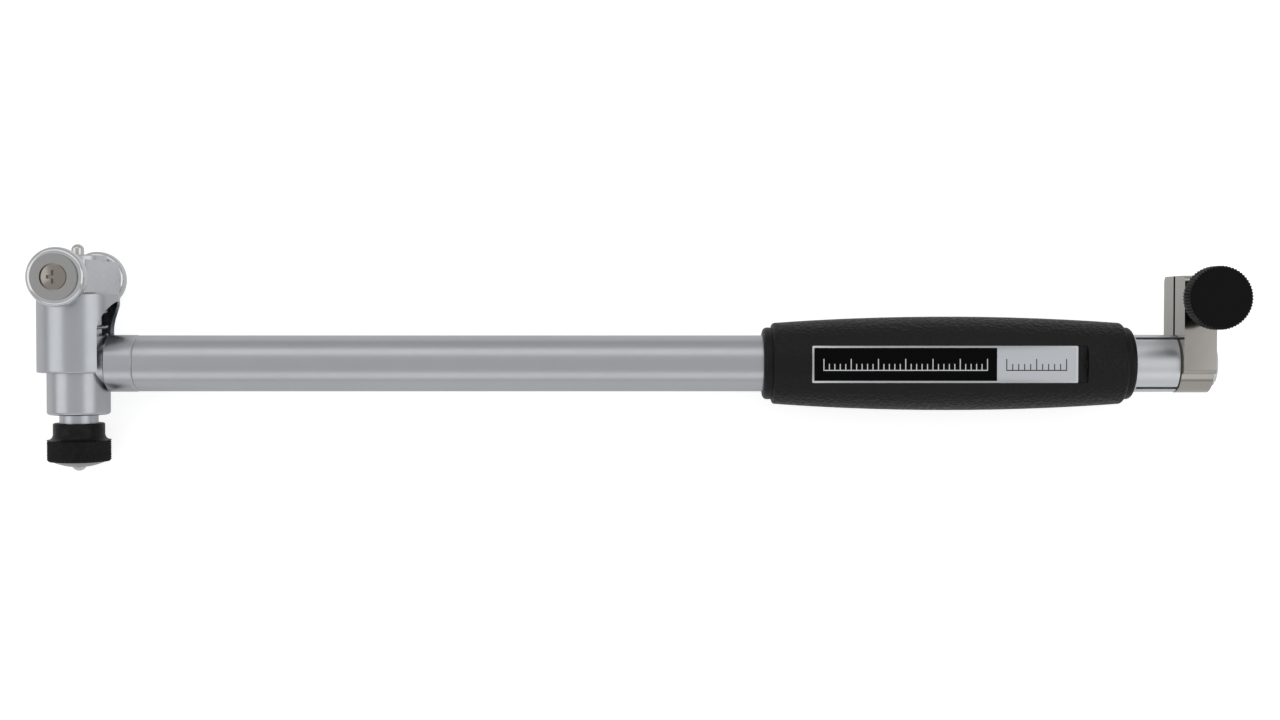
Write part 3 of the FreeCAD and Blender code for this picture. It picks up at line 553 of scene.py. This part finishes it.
def ticks(name, left, right, base, count, level, material):
    """A plain row of scale ticks over a base line, the first of each group longer."""
    points = []
    faces = []

    def stroke(low_x, high_x, low_y, high_y):
        first = len(points)
        for height in (level - FILM, level + FILM / 2):
            points.extend([(low_x, low_y, height), (high_x, low_y, height),
                           (high_x, high_y, height), (low_x, high_y, height)])
        for corners in ((0, 1, 2, 3), (4, 5, 6, 7), (0, 1, 5, 4), (1, 2, 6, 5), (2, 3, 7, 6), (3, 0, 4, 7)):
            faces.append(tuple(first + corner for corner in corners))

    stroke(left, right, base, base + TICK_WIDTH)
    for index in range(count):
        middle = left + TICK_WIDTH / 2 + (right - left - TICK_WIDTH) * index / (count - 1)
        height = TICK_LONG if index % TICK_GROUP == 0 else TICK_SHORT
        stroke(middle - TICK_WIDTH / 2, middle + TICK_WIDTH / 2, base + TICK_WIDTH, base + height)
    add_piece(name, points, faces, material, "stem", 30)


# Studio -------------------------------------------------------------------------


def floor():
    """A wide pale floor at the lowest point, white to the eye and keeping the shadow."""
    mesh = bpy.data.meshes.new("floor")
    level = cad_low.z - FLOOR_GAP
    corners = [(across * FLOOR_REACH, along * FLOOR_REACH, level)
               for across, along in ((-1, -1), (1, -1), (1, 1), (-1, 1))]
    mesh.from_pydata(corners, [], [(0, 1, 2, 3)])
    ground = bpy.data.objects.new("floor", mesh)
    bpy.context.scene.collection.objects.link(ground)
    material = bpy.data.materials.new("floor_white")
    material.use_nodes = True
    tree = material.node_tree
    tree.nodes.clear()
    output = tree.nodes.new("ShaderNodeOutputMaterial")
    both = tree.nodes.new("ShaderNodeAddShader")
    matt = tree.nodes.new("ShaderNodeBsdfDiffuse")
    matt.inputs["Color"].default_value = FLOOR_GREY
    glow = tree.nodes.new("ShaderNodeEmission")
    tree.links.new(seen_directly(tree, GLOW_TO_CAMERA, GLOW_TO_GLOSS), glow.inputs["Strength"])
    tree.links.new(matt.outputs[0], both.inputs[0])
    tree.links.new(glow.outputs[0], both.inputs[1])
    tree.links.new(both.outputs[0], output.inputs["Surface"])
    mesh.materials.append(material)


def seen_directly(tree, to_camera, to_gloss):
    """One level for camera rays, another for glossy and transmission rays, else 0."""
    path = tree.nodes.new("ShaderNodeLightPath")
    found = None
    levels = {"Is Camera Ray": to_camera, "Is Glossy Ray": to_gloss, "Is Transmission Ray": to_gloss}
    for name, level in levels.items():
        scaled = tree.nodes.new("ShaderNodeMath")
        scaled.operation = "MULTIPLY"
        scaled.inputs[1].default_value = level
        tree.links.new(path.outputs[name], scaled.inputs[0])
        if found is None:
            found = scaled.outputs[0]
            continue
        larger = tree.nodes.new("ShaderNodeMath")
        larger.operation = "MAXIMUM"
        tree.links.new(found, larger.inputs[0])
        tree.links.new(scaled.outputs[0], larger.inputs[1])
        found = larger.outputs[0]
    return found


def world():
    """White to the camera; a soft sky, brighter overhead, for the metal and the light."""
    sky = bpy.data.worlds.new("studio")
    bpy.context.scene.world = sky
    sky.use_nodes = True
    tree = sky.node_tree
    tree.nodes.clear()
    output = tree.nodes.new("ShaderNodeOutputWorld")
    mixed = tree.nodes.new("ShaderNodeMixShader")
    path = tree.nodes.new("ShaderNodeLightPath")
    white = tree.nodes.new("ShaderNodeBackground")
    white.inputs["Color"].default_value = (1, 1, 1, 1)
    soft = tree.nodes.new("ShaderNodeBackground")
    place = tree.nodes.new("ShaderNodeTexCoord")
    split = tree.nodes.new("ShaderNodeSeparateXYZ")
    ramp = tree.nodes.new("ShaderNodeValToRGB")
    ramp.color_ramp.elements[0].position = 0.05
    ramp.color_ramp.elements[0].color = SKY_LOW
    ramp.color_ramp.elements[1].position = 0.8
    ramp.color_ramp.elements[1].color = SKY_HIGH
    tree.links.new(place.outputs["Generated"], split.inputs[0])
    tree.links.new(split.outputs["Z"], ramp.inputs["Fac"])
    tree.links.new(ramp.outputs["Color"], soft.inputs["Color"])
    tree.links.new(path.outputs["Is Camera Ray"], mixed.inputs[0])
    tree.links.new(soft.outputs[0], mixed.inputs[1])
    tree.links.new(white.outputs[0], mixed.inputs[2])
    tree.links.new(mixed.outputs[0], output.inputs["Surface"])


def lamp(name, place, target, width, height, power):
    """A rectangular soft lamp, placed and aimed in gauge millimetres."""
    data = bpy.data.lights.new(name, "AREA")
    data.shape = "RECTANGLE"
    data.size = width
    data.size_y = height
    data.energy = power
    light = bpy.data.objects.new(name, data)
    bpy.context.scene.collection.objects.link(light)
    start = GAUGE @ (Vector(place) * MM)
    aim = GAUGE @ (Vector(target) * MM) - start
    light.rotation_mode = "QUATERNION"
    light.rotation_quaternion = aim.to_track_quat("-Z", "Y")
    light.location = start


def camera():
    """Looks down on the label, square to the stem."""
    data = bpy.data.cameras.new("camera")
    data.lens = CAMERA_LENS
    data.sensor_width = CAMERA_SENSOR
    data.clip_start = 0.01
    eye = bpy.data.objects.new("camera", data)
    bpy.context.scene.collection.objects.link(eye)
    back = outward * math.cos(CAMERA_DIP) + measuring * math.sin(CAMERA_DIP)
    up = measuring * math.cos(CAMERA_DIP) - outward * math.sin(CAMERA_DIP)
    turn = Matrix((along_stem, up, back)).transposed().to_4x4()
    eye.matrix_world = Matrix.Translation(GAUGE @ (CAMERA_PLACE * MM)) @ turn
    bpy.context.scene.camera = eye


camera()
dress_frame()
knurled_nut()
guide_spring()
rod_spring()
label()
floor()
world()
for settings in LAMPS:
    lamp(*settings)
bpy.context.scene.view_settings.view_transform = "Standard"
